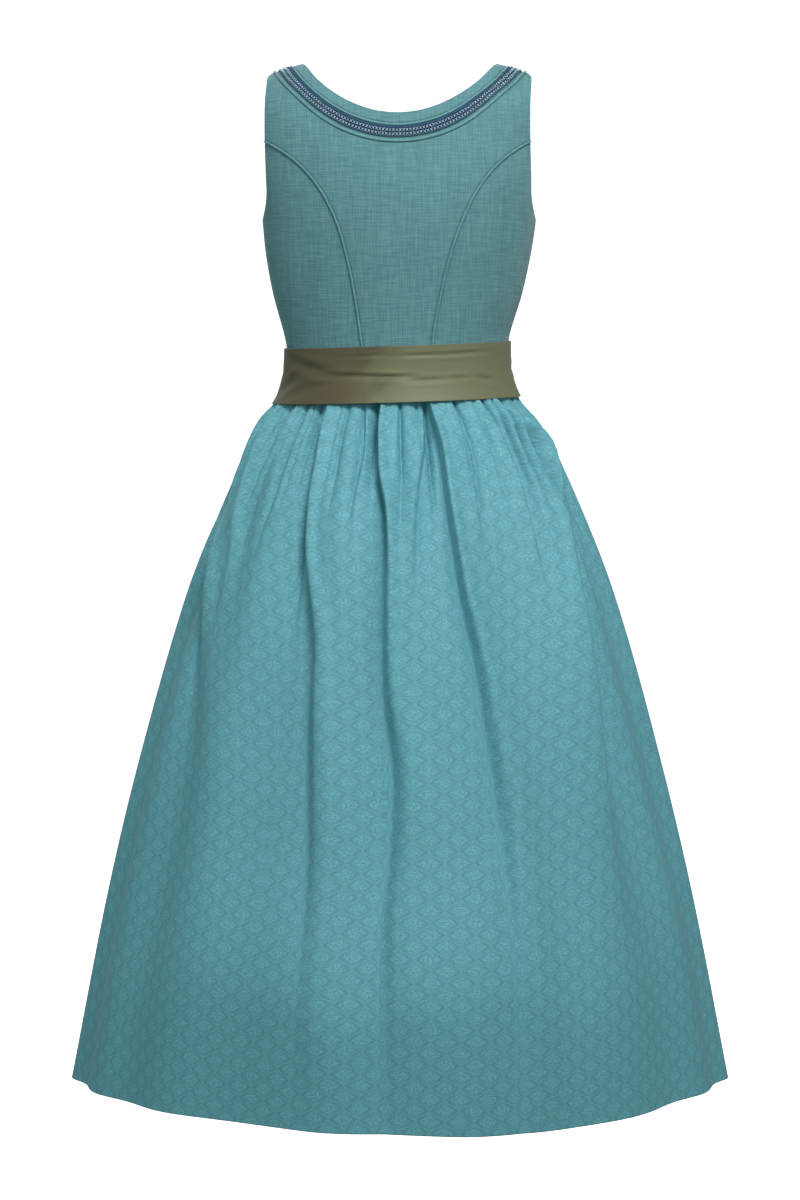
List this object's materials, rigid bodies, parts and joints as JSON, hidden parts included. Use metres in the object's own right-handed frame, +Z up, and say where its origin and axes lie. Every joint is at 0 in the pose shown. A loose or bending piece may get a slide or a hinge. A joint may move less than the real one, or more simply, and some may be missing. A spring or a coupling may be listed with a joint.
{
  "type": "dirndl",
  "caption": "Sleeveless calf-length dirndl, filled out as worn: fitted linen bodice with corded seams and braided round neck, satin sash and gathered jacquard skirt.",
  "frame": {"origin": "midway between the two shoulder seams, at the height where they rest on the wearer", "axes": "+Z up, +X to the wearer's right, -Y the wearer's back, which is the side the picture shows"},
  "size_m": [0.8248, 0.6762, 1.2639],
  "materials": {
    "linen": "matt slubbed linen, teal",
    "jacquard": "tone-on-tone woven jacquard, light teal",
    "braid": "woven braid, navy and light blue",
    "satin": "satin, olive"
  },
  "bodies": {
    "root": {"back_centre": "linen", "back_side_left": "linen", "back_side_right": "linen", "front_centre_left": "linen", "front_centre_right": "linen", "front_side_left": "linen", "front_side_right": "linen", "back_seam_cord_left": "linen", "back_seam_cord_right": "linen", "front_seam_cord_left": "linen", "front_seam_cord_right": "linen", "neck_cord_inner_back": "linen", "neck_cord_inner_front_left": "linen", "neck_cord_inner_front_right": "linen", "neck_cord_outer_back": "linen", "neck_cord_outer_front_left": "linen", "neck_cord_outer_front_right": "linen", "neck_braid_back": "braid", "neck_braid_front_left": "braid", "neck_braid_front_right": "braid", "sash": "satin", "skirt_back": "jacquard", "skirt_front": "jacquard"}
  },
  "joints": []
}
